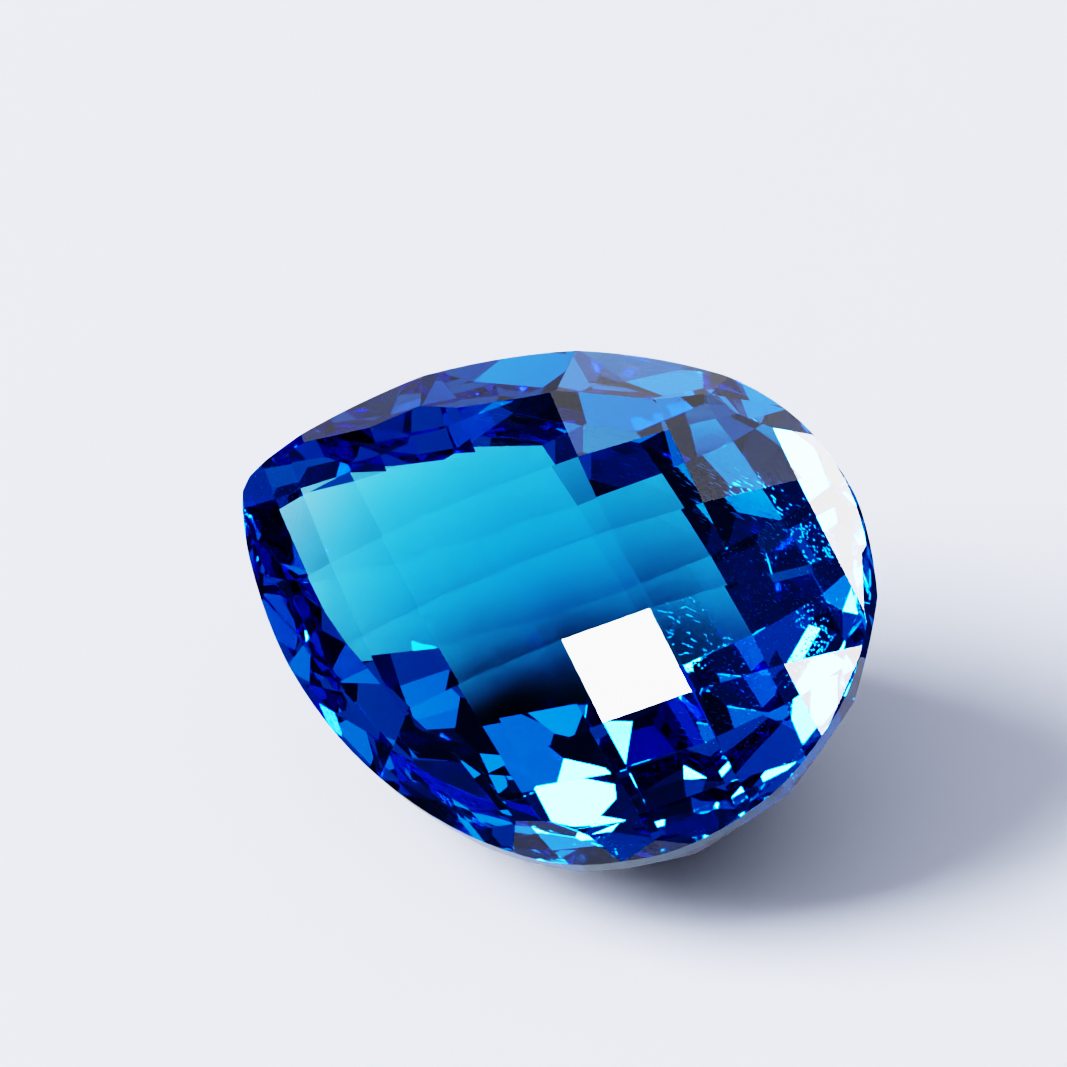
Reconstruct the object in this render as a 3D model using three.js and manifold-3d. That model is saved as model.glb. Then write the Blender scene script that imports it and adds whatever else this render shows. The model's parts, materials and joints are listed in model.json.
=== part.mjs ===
// A cut topaz: a pear-shaped stone with a checkerboard crown, a thin girdle and a checkerboard pavilion.
// The stone is cut as a lapidary cuts it: a pear-shaped blank loses one flat slice for each facet.
// Stone frame while cutting: X from the tip to the round head, Y across, Z up through the crown,
// with the middle of the girdle at Z = 0 and the centre of the head's arc at X = 0, Y = 0.
// The finished stone is then turned to lie on one broad pavilion facet. Millimetres.
import * as THREE from "three";
import { mergeVertices } from "three/addons/utils/BufferGeometryUtils.js";
import Module from "manifold-3d";

// Outline of the girdle
const LENGTH = 16;
const WIDTH = 12;
const GIRDLE_THICKNESS = 0.36;
const HEAD_STEPS = 40;
const WING_STEPS = 24;

// Two checkerboards of diamond facets: a low dome over the girdle and a deeper bowl under it.
// peak is the highest point over the girdle's middle, over peakX; fall is how fast it drops along X.
const CROWN = { peak: 1.9, peakX: -1.8, fall: 0.028, diamond: [3.15, 2.75], diamondX: -0.125 };
const PAVILION = { peak: 5.5, peakX: -1.43, fall: 0.078, diamond: [3.0, 2.25], diamondX: -1.43 };
const DIAMOND_ROWS = 5;
const DIAMOND_COLUMNS = 3;

// Rings of facets beside the girdle: slope and plan directions, in degrees, on one side of the axis
const BREAK_RING = { slope: 36, directions: [0, 25, 50, 75, 98, 118, 136, 150] };
const GIRDLE_RING = { slope: 60, directions: [12, 36, 60, 84, 102, 118, 134, 149] };

// Finish
const TOPAZ_COLOUR = 0x1173c4;
const TOPAZ_ROUGHNESS = 0.02;

const UP = new THREE.Vector3(0, 0, 1);
const DOWN = new THREE.Vector3(0, 0, -1);
const HEAD_RADIUS = WIDTH / 2;
const TIP_X = HEAD_RADIUS - LENGTH;
const WING_RADIUS = (TIP_X * TIP_X + HEAD_RADIUS * HEAD_RADIUS) / (2 * HEAD_RADIUS);
const WING_CENTRE_Y = HEAD_RADIUS - WING_RADIUS;
const WING_END = Math.atan2(-WING_CENTRE_Y, TIP_X);

const wasm = await Module();
wasm.setup();

// A three.js geometry as a solid that can be cut.
function solidOf(geometry) {
  geometry.deleteAttribute("normal");
  geometry.deleteAttribute("uv");
  const merged = mergeVertices(geometry);
  return new wasm.Manifold(
    new wasm.Mesh({
      numProp: 3,
      vertProperties: merged.attributes.position.array,
      triVerts: new Uint32Array(merged.index.array),
    }),
  );
}

// A solid's faces as a three.js geometry. No corner is shared, so that each facet is shaded flat.
function geometryOf(solid) {
  const mesh = solid.getMesh();
  const shared = new THREE.BufferGeometry();
  shared.setAttribute("position", new THREE.BufferAttribute(mesh.vertProperties, 3));
  shared.setIndex(new THREE.BufferAttribute(mesh.triVerts, 1));
  const geometry = shared.toNonIndexed();
  geometry.computeVertexNormals();
  return geometry;
}

// The pear-shaped blank: an upright prism with the girdle's outline, taller than the finished stone.
function blank() {
  const points = [];
  for (let i = 0; i <= HEAD_STEPS; i++) {
    const turn = Math.PI * (i / HEAD_STEPS - 0.5);
    points.push(new THREE.Vector2(HEAD_RADIUS * Math.cos(turn), HEAD_RADIUS * Math.sin(turn)));
  }
  for (let i = 1; i <= WING_STEPS; i++) {
    const turn = Math.PI / 2 + ((WING_END - Math.PI / 2) * i) / WING_STEPS;
    const x = WING_RADIUS * Math.cos(turn);
    points.push(new THREE.Vector2(x, WING_CENTRE_Y + WING_RADIUS * Math.sin(turn)));
  }
  for (let i = WING_STEPS - 1; i >= 1; i--) {
    const upper = points[HEAD_STEPS + i];
    points.push(new THREE.Vector2(upper.x, -upper.y));
  }
  const depth = 2 * (CROWN.peak + PAVILION.peak);
  const prism = new THREE.ExtrudeGeometry(new THREE.Shape(points), { depth, bevelEnabled: false });
  prism.translate(0, 0, -depth / 2);
  return solidOf(prism);
}

// How far the girdle's outline reaches in a plan direction.
function reach(turn) {
  if (Math.abs(turn) <= Math.PI / 2) return HEAD_RADIUS;
  if (Math.abs(turn) <= WING_END) return WING_RADIUS + WING_CENTRE_Y * Math.sin(Math.abs(turn));
  return TIP_X * Math.cos(turn);
}

// A facet is a point on it and the direction that it faces; side is 1 over the girdle and -1 under it.
function facet(x, y, z, slopeX, slopeY, side) {
  return {
    point: new THREE.Vector3(x, y, side * z),
    normal: new THREE.Vector3(slopeX, slopeY, side).normalize(),
  };
}

// One diamond facet, flat against its dome or bowl at the facet's own middle.
function diamond(board, row, column, side) {
  const [length, width] = board.diamond;
  const fallAcross = board.fall * (length / width) ** 2;
  const x = board.diamondX + (column + Math.abs(row % 2) / 2) * length;
  const y = (row * width) / 2;
  const along = x - board.peakX;
  const z = board.peak - board.fall * along * along - fallAcross * y * y;
  return facet(x, y, z, 2 * board.fall * along, 2 * fallAcross * y, side);
}

function checkerboard(board, side) {
  const facets = [];
  for (let row = -DIAMOND_ROWS; row <= DIAMOND_ROWS; row++) {
    for (let column = -DIAMOND_COLUMNS; column <= DIAMOND_COLUMNS; column++) {
      facets.push(diamond(board, row, column, side));
    }
  }
  return facets;
}

// A ring of facets that start at the girdle's upper or lower edge.
function ring({ slope, directions }, side) {
  const rise = Math.tan(THREE.MathUtils.degToRad(slope));
  const mirrored = directions.filter((degrees) => degrees > 0).map((degrees) => -degrees);
  return [...directions, ...mirrored].map((degrees) => {
    const turn = THREE.MathUtils.degToRad(degrees);
    const [x, y] = [Math.cos(turn), Math.sin(turn)];
    return facet(reach(turn) * x, reach(turn) * y, GIRDLE_THICKNESS / 2, rise * x, rise * y, side);
  });
}

// Cuts away everything on the outer side of a facet.
function cut(stone, { point, normal }) {
  const size = 4 * LENGTH;
  const waste = new THREE.BoxGeometry(size, size, size);
  waste.translate(0, 0, size / 2);
  waste.applyQuaternion(new THREE.Quaternion().setFromUnitVectors(UP, normal));
  waste.translate(point.x, point.y, point.z);
  return stone.subtract(solidOf(waste));
}

const crown = [...checkerboard(CROWN, 1), ...ring(BREAK_RING, 1)];
const pavilion = [...checkerboard(PAVILION, -1), ...ring(GIRDLE_RING, -1)];
const stone = [...crown, ...pavilion].reduce(cut, blank());

const material = new THREE.MeshStandardMaterial({
  color: TOPAZ_COLOUR,
  roughness: TOPAZ_ROUGHNESS,
  metalness: 0,
});
const topaz = new THREE.Mesh(geometryOf(stone), material);
topaz.name = "topaz";

// The stone lies on a broad facet at its side, with the pear's axis along X and its box over the origin.
const restFacet = diamond(PAVILION, -2, 0, -1);
const lying = new THREE.Group();
lying.add(topaz);
topaz.quaternion.setFromUnitVectors(restFacet.normal, DOWN);
topaz.updateMatrixWorld(true);
const box = new THREE.Box3().setFromObject(topaz, true);
const centre = box.getCenter(new THREE.Vector3());
topaz.position.set(-centre.x, -centre.y, -box.min.z);

export default lying;
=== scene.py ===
# %% [markdown]
# # A pear-cut blue topaz
# The stone is one piece of clear mineral with flat, polished facets. A checkerboard of diamonds covers
# its low crown, a thin girdle runs round it, and a deeper checkerboard closes it underneath. This lesson
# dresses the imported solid: first the facet edges, then the clear blue mineral, then its wear, and at
# last the studio.

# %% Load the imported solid
import json
import math
import bpy
from mathutils import Matrix, Vector

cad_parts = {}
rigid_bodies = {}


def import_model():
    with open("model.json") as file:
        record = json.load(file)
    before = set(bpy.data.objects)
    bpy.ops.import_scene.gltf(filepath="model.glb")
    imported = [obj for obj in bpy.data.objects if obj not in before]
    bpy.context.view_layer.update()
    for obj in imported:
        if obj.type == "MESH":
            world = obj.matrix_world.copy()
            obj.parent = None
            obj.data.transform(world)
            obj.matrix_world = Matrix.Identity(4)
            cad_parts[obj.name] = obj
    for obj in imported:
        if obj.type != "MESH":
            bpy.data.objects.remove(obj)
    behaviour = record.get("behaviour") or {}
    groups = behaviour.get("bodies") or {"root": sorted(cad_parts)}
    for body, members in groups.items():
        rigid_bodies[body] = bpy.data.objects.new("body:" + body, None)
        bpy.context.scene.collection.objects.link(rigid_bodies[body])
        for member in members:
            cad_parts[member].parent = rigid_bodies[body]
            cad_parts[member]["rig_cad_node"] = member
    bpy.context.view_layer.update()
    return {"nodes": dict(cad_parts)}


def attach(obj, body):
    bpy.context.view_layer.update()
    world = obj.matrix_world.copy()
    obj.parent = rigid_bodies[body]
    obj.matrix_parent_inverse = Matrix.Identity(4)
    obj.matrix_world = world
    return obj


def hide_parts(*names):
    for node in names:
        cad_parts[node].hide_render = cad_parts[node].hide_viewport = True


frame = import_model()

MM = 0.001

# %% [markdown]
# ## Facet edges
# Where two facets of a polished stone meet, the polish takes a few hundredths of a millimetre off the
# edge, and that narrow strip catches light as a thin bright line. The strip could be painted by a bevel
# shader, but light that is inside the stone would not turn on it, so it is cut into the mesh. The packed
# solid is loose triangles: a copy of it is merged, the triangles of each facet are joined, and then all
# edges are bevelled.

# %% Copy the solid
bpy.ops.object.select_all(action="DESELECT")
solid = frame["nodes"]["topaz"]
solid.select_set(True)
bpy.context.view_layer.objects.active = solid
bpy.ops.object.duplicate()
stone = bpy.context.object
stone.name = "polished_stone"
stone.data.name = "polished_stone"
del stone["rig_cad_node"]
bpy.ops.object.parent_clear(type="CLEAR_KEEP_TRANSFORM")
print("copied", len(stone.data.polygons), "triangles")

# %% Join the triangles of each facet
MERGE_REACH = 0.03 * MM
FLAT_WITHIN = math.radians(1.0)
bpy.ops.object.mode_set(mode="EDIT")
bpy.ops.mesh.select_all(action="SELECT")
bpy.ops.mesh.remove_doubles(threshold=MERGE_REACH)
bpy.ops.mesh.dissolve_limited(angle_limit=FLAT_WITHIN)
bpy.ops.object.mode_set(mode="OBJECT")
print("facets:", len(stone.data.polygons))

# %% Wear the edges
EDGE_STRIP = 0.022 * MM
bpy.ops.object.mode_set(mode="EDIT")
bpy.ops.mesh.select_all(action="SELECT")
bpy.ops.mesh.bevel(
    offset_type="WIDTH", offset=EDGE_STRIP, segments=1, affect="EDGES", clamp_overlap=True
)
bpy.ops.mesh.select_all(action="SELECT")
bpy.ops.mesh.normals_make_consistent(inside=False)
bpy.ops.object.mode_set(mode="OBJECT")
bpy.ops.object.shade_flat()
print("faces with the edge strips:", len(stone.data.polygons))

# %% Mark the edge strips
STRIP_LIMIT = 1.5 * EDGE_STRIP


def narrow(face):
    corners = [stone.data.vertices[index].co for index in face.vertices]
    rim = sum((corners[i] - corners[i - 1]).length for i in range(len(corners)))
    return 2.0 * face.area / rim < STRIP_LIMIT


edge_strip = stone.data.attributes.new("edge_strip", "FLOAT", "FACE")
for face in stone.data.polygons:
    edge_strip.data[face.index].value = 1.0 if narrow(face) else 0.0
print("edge strips:", sum(narrow(face) for face in stone.data.polygons))

# %% [markdown]
# ## Clear blue mineral
# Topaz bends light with an index of 1.62 and takes red out of it along the way, so a thin corner looks
# pale and a long path looks deep blue. A tinted surface would colour every facet alike, so the colour
# sits in the volume: plain absorption, with its colour and density on the shader's own sockets.

# %% Topaz material
TOPAZ_INDEX = 1.62
TOPAZ_POLISH = 0.0
TOPAZ_TINT = (0.067, 0.745, 0.912, 1.0)
TOPAZ_DEPTH = 560.0

topaz = bpy.data.materials.new("clear_blue_topaz")
topaz.use_nodes = True
nodes, links = topaz.node_tree.nodes, topaz.node_tree.links
surface = nodes["Principled BSDF"]
surface.inputs["Base Color"].default_value = (1.0, 1.0, 1.0, 1.0)
surface.inputs["Roughness"].default_value = TOPAZ_POLISH
surface.inputs["Metallic"].default_value = 0.0
surface.inputs["Transmission Weight"].default_value = 1.0
surface.inputs["IOR"].default_value = TOPAZ_INDEX
absorption = nodes.new("ShaderNodeVolumeAbsorption")
absorption.inputs["Color"].default_value = TOPAZ_TINT
absorption.inputs["Density"].default_value = TOPAZ_DEPTH
links.new(absorption.outputs["Volume"], nodes["Material Output"].inputs["Volume"])
stone.data.materials.clear()
stone.data.materials.append(topaz)
print("material:", topaz.name)

# %% [markdown]
# ## Wear of the polish
# The stone has been handled: fine straight polishing lines lie in patches on the facets, a few specks of
# dust cling to it, and the facet edges are chipped along parts of their length. Each of these scatters
# light on a spot far smaller than a facet. Rough glass could show them, but it is slow to render inside
# a clear stone. So one node group makes their masks, and the masks lay a thin rough coat there. The
# facets stay polished.

# %% Polish wear group
PER_MM = 1000.0
LINE_TURN = 24.0
LINE_SCALE = (0.12, 20.0, 20.0)
LINE_STEP = (0.66, 0.74)
PATCH_SCALE = (0.26, 0.26, 0.26)
PATCH_STEP = (0.57, 0.66)
DUST_CELL = 0.36
DUST_STEP = (0.075, 0.045)
DUST_PICK = (0.82, 0.86)
CHIP_SCALE = (3.5, 3.5, 3.5)
CHIP_STEP = (0.46, 0.60)

wear = bpy.data.node_groups.new("polish_wear", "ShaderNodeTree")
wear.interface.new_socket("Place", in_out="INPUT", socket_type="NodeSocketVector")
for mask in ("Hairlines", "Dust", "Chips"):
    wear.interface.new_socket(mask, in_out="OUTPUT", socket_type="NodeSocketFloat")
wear_in = wear.nodes.new("NodeGroupInput")
wear_out = wear.nodes.new("NodeGroupOutput")


def noise_at(scale, turn=0.0):
    spread = wear.nodes.new("ShaderNodeMapping")
    spread.vector_type = "POINT"
    spread.inputs["Rotation"].default_value = (0.0, 0.0, math.radians(turn))
    spread.inputs["Scale"].default_value = [PER_MM * value for value in scale]
    wear.links.new(wear_in.outputs["Place"], spread.inputs["Vector"])
    noise = wear.nodes.new("ShaderNodeTexNoise")
    noise.inputs["Scale"].default_value = 1.0
    noise.inputs["Detail"].default_value = 0.0
    wear.links.new(spread.outputs["Vector"], noise.inputs["Vector"])
    return noise.outputs["Fac"]


def above(value, step):
    ramp = wear.nodes.new("ShaderNodeMapRange")
    ramp.inputs["From Min"].default_value = step[0]
    ramp.inputs["From Max"].default_value = step[1]
    wear.links.new(value, ramp.inputs["Value"])
    return ramp.outputs["Result"]


def combine(tree, operation, first, second):
    node = tree.nodes.new("ShaderNodeMath")
    node.operation = operation
    tree.links.new(first, node.inputs[0])
    if isinstance(second, float):
        node.inputs[1].default_value = second
    else:
        tree.links.new(second, node.inputs[1])
    return node.outputs["Value"]


# %% Hairlines, dust and chips
lines = above(noise_at(LINE_SCALE, LINE_TURN), LINE_STEP)
patches = above(noise_at(PATCH_SCALE, LINE_TURN), PATCH_STEP)
wear.links.new(combine(wear, "MULTIPLY", lines, patches), wear_out.inputs["Hairlines"])

cells = wear.nodes.new("ShaderNodeTexVoronoi")
cells.inputs["Scale"].default_value = PER_MM / DUST_CELL
wear.links.new(wear_in.outputs["Place"], cells.inputs["Vector"])
pick = wear.nodes.new("ShaderNodeSeparateColor")
wear.links.new(cells.outputs["Color"], pick.inputs["Color"])
grain = above(cells.outputs["Distance"], DUST_STEP)
chosen = above(pick.outputs["Red"], DUST_PICK)
wear.links.new(combine(wear, "MULTIPLY", grain, chosen), wear_out.inputs["Dust"])

wear.links.new(above(noise_at(CHIP_SCALE), CHIP_STEP), wear_out.inputs["Chips"])
print("wear group nodes:", len(wear.nodes))

# %% Wear on the topaz
LINE_COAT = 0.5
DUST_COAT = 1.0
CHIP_COAT = 1.0
COAT_ROUGHNESS = 0.4
COAT_INDEX = 1.6
BUMP_HEIGHT = 0.002 * MM
BUMP_STRENGTH = 0.08

spot = nodes.new("ShaderNodeTexCoord")
worn = nodes.new("ShaderNodeGroup")
worn.node_tree = wear
links.new(spot.outputs["Object"], worn.inputs["Place"])
strip = nodes.new("ShaderNodeAttribute")
strip.attribute_name = "edge_strip"
tree = topaz.node_tree
chipped = combine(tree, "MULTIPLY", worn.outputs["Chips"], strip.outputs["Fac"])
coat = combine(tree, "MULTIPLY", worn.outputs["Hairlines"], LINE_COAT)
coat = combine(tree, "MAXIMUM", coat, combine(tree, "MULTIPLY", worn.outputs["Dust"], DUST_COAT))
coat = combine(tree, "MAXIMUM", coat, combine(tree, "MULTIPLY", chipped, CHIP_COAT))
links.new(coat, surface.inputs["Coat Weight"])
surface.inputs["Coat Roughness"].default_value = COAT_ROUGHNESS
surface.inputs["Coat IOR"].default_value = COAT_INDEX
relief = nodes.new("ShaderNodeBump")
relief.inputs["Strength"].default_value = BUMP_STRENGTH
relief.inputs["Distance"].default_value = BUMP_HEIGHT
links.new(worn.outputs["Hairlines"], relief.inputs["Height"])
links.new(relief.outputs["Normal"], surface.inputs["Normal"])
print("wear feeds:", [link.to_socket.name for link in links if link.to_node == surface])

# %% Put the stone on its body
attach(stone, "root")
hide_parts("topaz")
print("stone rides on root and replaces topaz")

# %% [markdown]
# ## Studio
# The stone lies on a plain pale sheet, and every lamp is a white softbox. Polished facets show what
# stands around them, so the places of the boxes matter more than their strength: the key box is small
# and sits where one crown facet mirrors it into the lens, the veil box lays a pale film over the facets
# at the back, and small bright boxes flash through the stone. One big lamp could light it all, but then
# each facet would be as bright as the next. Each box has one job, set by its ray visibility: it lights
# the sheet, is mirrored in the facets, or is seen through the stone. The facets don't mirror the sheet:
# the gleam box below them stands in for it.

# %% Pale sheet
SHEET_TONE = (0.63, 0.69, 0.90, 1.0)
SHEET_ROUGHNESS = 0.9
SHEET_SIZE = 6.0
SHEET_GAP = 0.02 * MM

bpy.ops.object.select_all(action="DESELECT")
bpy.ops.mesh.primitive_plane_add(size=SHEET_SIZE, location=(0.0, 0.0, -SHEET_GAP))
sheet = bpy.context.object
sheet.name = "pale_sheet"
paper = bpy.data.materials.new("pale_paper")
paper.use_nodes = True
paper_surface = paper.node_tree.nodes["Principled BSDF"]
paper_surface.inputs["Base Color"].default_value = SHEET_TONE
paper_surface.inputs["Roughness"].default_value = SHEET_ROUGHNESS
paper_surface.inputs["Specular IOR Level"].default_value = 0.0
sheet.data.materials.append(paper)
sheet.visible_glossy = False
print("sheet tone:", SHEET_TONE[:3])

# %% Softboxes
BOX_DISTANCE = 0.6
WHITE = (1.0, 1.0, 1.0)
FLASH = 150.0
# name, degrees around from the front, degrees up, degrees wide, degrees high, radiance, job
SOFTBOXES = (
    ("sheet_box", -60.0, 40.0, 36.0, 36.0, 12.4, "sheet"),
    ("fill_box", 0.0, 90.0, 130.0, 130.0, 0.38, "sheet"),
    ("key_box", -6.5, 58.0, 9.0, 9.0, 40.0, "mirror"),
    ("veil_box", -158.0, 50.0, 44.0, 54.0, 0.85, "mirror"),
    ("rim_box", -129.0, 13.0, 20.0, 14.0, 0.35, "mirror"),
    ("head_strip", 142.0, 73.0, 42.0, 8.0, 16.0, "mirror"),
    ("head_edge", 162.0, 51.0, 9.0, 9.0, 16.0, "mirror"),
    ("head_spot", 55.0, 59.0, 8.0, 8.0, 14.0, "mirror"),
    ("low_front", 6.0, 4.0, 34.0, 14.0, 0.6, "mirror"),
    ("gleam_box", 0.0, -90.0, 100.0, 100.0, 0.45, "mirror"),
    ("front_box", 28.0, 19.0, 50.0, 24.0, 1.2, "depth"),
    ("top_box", 30.0, 75.0, 30.0, 20.0, 2.0, "depth"),
    ("low_left", -38.0, 3.0, 26.0, 14.0, 1.4, "depth"),
    ("side_box", 82.0, 22.0, 64.0, 44.0, 0.35, "depth"),
    ("left_box", -52.0, 30.0, 50.0, 18.0, 0.35, "depth"),
    ("near_box", 3.0, 30.0, 24.0, 16.0, 0.35, "depth"),
    ("flash_key", -6.5, 58.0, 9.0, 9.0, FLASH, "depth"),
    ("flash_high", -72.0, 78.5, 9.0, 9.0, FLASH, "depth"),
    ("flash_front", 1.0, 12.0, 9.0, 9.0, FLASH, "depth"),
    ("flash_left", -66.0, 14.0, 8.0, 8.0, FLASH, "depth"),
    ("flash_tip", -47.0, 38.0, 7.0, 7.0, FLASH, "depth"),
    ("flash_low", -30.0, 30.0, 7.0, 7.0, FLASH, "depth"),
    ("flash_mid", -30.0, 47.0, 6.0, 6.0, FLASH, "depth"),
    ("flash_top", -44.0, 68.0, 7.0, 7.0, FLASH, "depth"),
)


def towards(around, up):
    around, up = math.radians(around), math.radians(up)
    return Vector((math.sin(around) * math.cos(up), -math.cos(around) * math.cos(up), math.sin(up)))


def softbox(name, around, up, wide, high, radiance, job):
    bpy.ops.object.select_all(action="DESELECT")
    bpy.ops.object.light_add(type="AREA", location=towards(around, up) * BOX_DISTANCE)
    lamp = bpy.context.object
    lamp.name = name
    lamp.rotation_euler = towards(around, up).to_track_quat("Z", "Y").to_euler()
    lamp.data.shape = "RECTANGLE"
    lamp.data.size = 2.0 * BOX_DISTANCE * math.tan(math.radians(wide / 2.0))
    lamp.data.size_y = 2.0 * BOX_DISTANCE * math.tan(math.radians(high / 2.0))
    lamp.data.color = WHITE
    lamp.data.energy = radiance * math.pi * lamp.data.size * lamp.data.size_y
    lamp.visible_camera = False
    lamp.visible_diffuse = job == "sheet"
    lamp.visible_glossy = job == "mirror"
    lamp.visible_transmission = job == "depth"


for row in SOFTBOXES:
    softbox(*row)
print("softboxes:", len(SOFTBOXES))

# %% [markdown]
# ## Room
# Outside the softboxes the room is a dim grey, and darkest where the camera stands. It is seen through
# the stone only. A clear stone shows that dark place in many of its facets, and this is what makes a
# blue stone look deep. An evenly white room would be simpler, but it would wash the facets out. Straight
# views past the sheet see a pale backdrop.

# %% Room light
VIEW_FROM = Vector((0.421, -0.641, 0.642)).normalized()
ROOM_TONE = (0.12, 0.12, 0.13, 1.0)
LENS_TONE = (0.03, 0.03, 0.035, 1.0)
LENS_EDGE = 0.55
LENS_CORE = 0.95
BACKDROP = (0.84, 0.85, 0.92, 1.0)
# a Mix node's colour sockets share their names with its number sockets, so they are picked by place
MIX_FIRST = 6
MIX_SECOND = 7
MIX_RESULT = 2

room = bpy.data.worlds.new("room")
bpy.context.scene.world = room
room.use_nodes = True
room_nodes, room_links = room.node_tree.nodes, room.node_tree.links
place = room_nodes.new("ShaderNodeTexCoord")
side = room_nodes.new("ShaderNodeVectorMath")
side.operation = "DOT_PRODUCT"
side.inputs[1].default_value = VIEW_FROM
dim = room_nodes.new("ShaderNodeValToRGB")
dim.color_ramp.interpolation = "EASE"
dim.color_ramp.elements[0].position = LENS_EDGE
dim.color_ramp.elements[0].color = ROOM_TONE
dim.color_ramp.elements[1].position = LENS_CORE
dim.color_ramp.elements[1].color = LENS_TONE
seen = room_nodes.new("ShaderNodeLightPath")
backdrop = room_nodes.new("ShaderNodeMix")
backdrop.data_type = "RGBA"
backdrop.inputs[MIX_SECOND].default_value = BACKDROP
room_links.new(place.outputs["Generated"], side.inputs[0])
room_links.new(side.outputs["Value"], dim.inputs["Fac"])
room_links.new(seen.outputs["Is Camera Ray"], backdrop.inputs["Factor"])
room_links.new(dim.outputs["Color"], backdrop.inputs[MIX_FIRST])
room_links.new(backdrop.outputs[MIX_RESULT], room_nodes["Background"].inputs["Color"])
room_nodes["Background"].inputs["Strength"].default_value = 1.0
room.cycles_visibility.glossy = False
room.cycles_visibility.diffuse = False
print("room tone:", ROOM_TONE[:3], "towards the lens:", LENS_TONE[:3])

# %% [markdown]
# ## Camera
# The view is down on the crown from the round head's side, at about forty degrees. A long lens ten stone
# lengths away keeps the facets nearly free of perspective, as a close-up lens does. The film-like tone
# curve lets very bright blue run to white, as it does in a camera. A plain curve would leave the flashes
# cyan.

# %% Camera
RIGHT_HAND = Vector((0.855, 0.512, -0.050))
HEAD_CENTRE = Vector((1.948, -0.051, 5.262)) * MM
AIM_RIGHT = -1.861 * MM
AIM_UP = 1.809 * MM
DISTANCE = 160.0 * MM
FRAME_WIDTH = 24.04 * MM
SENSOR = 36.0
NEAR_CLIP = 1.0 * MM

right = (RIGHT_HAND - RIGHT_HAND.dot(VIEW_FROM) * VIEW_FROM).normalized()
up = VIEW_FROM.cross(right)
aim = HEAD_CENTRE + AIM_RIGHT * right + AIM_UP * up
bpy.ops.object.select_all(action="DESELECT")
bpy.ops.object.camera_add()
camera = bpy.context.object
camera.name = "close_up"
facing = Matrix((right, up, VIEW_FROM)).transposed().to_4x4()
camera.matrix_world = Matrix.Translation(aim + VIEW_FROM * DISTANCE) @ facing
camera.data.sensor_width = SENSOR
camera.data.lens = SENSOR * DISTANCE / FRAME_WIDTH
camera.data.clip_start = NEAR_CLIP
bpy.context.scene.camera = camera
print("lens in mm:", round(camera.data.lens, 1))

# %% Light paths and picture
INSIDE_BOUNCES = 32
SHEET_BOUNCES = 4
GLOSSY_BLUR = 1.0
NO_CLAMP = 0.0
EXPOSURE = 0.75

scene = bpy.context.scene
scene.view_settings.view_transform = "Filmic"
scene.view_settings.look = "Very High Contrast"
scene.view_settings.exposure = EXPOSURE
scene.cycles.use_denoising = True
scene.cycles.max_bounces = INSIDE_BOUNCES
scene.cycles.transmission_bounces = INSIDE_BOUNCES
scene.cycles.glossy_bounces = INSIDE_BOUNCES
scene.cycles.diffuse_bounces = SHEET_BOUNCES
scene.cycles.caustics_refractive = False
scene.cycles.caustics_reflective = False
scene.cycles.blur_glossy = GLOSSY_BLUR
scene.cycles.sample_clamp_indirect = NO_CLAMP
scene.cycles.sampling_pattern = "TABULATED_SOBOL"
print("tone curve:", scene.view_settings.view_transform, "at exposure", EXPOSURE)
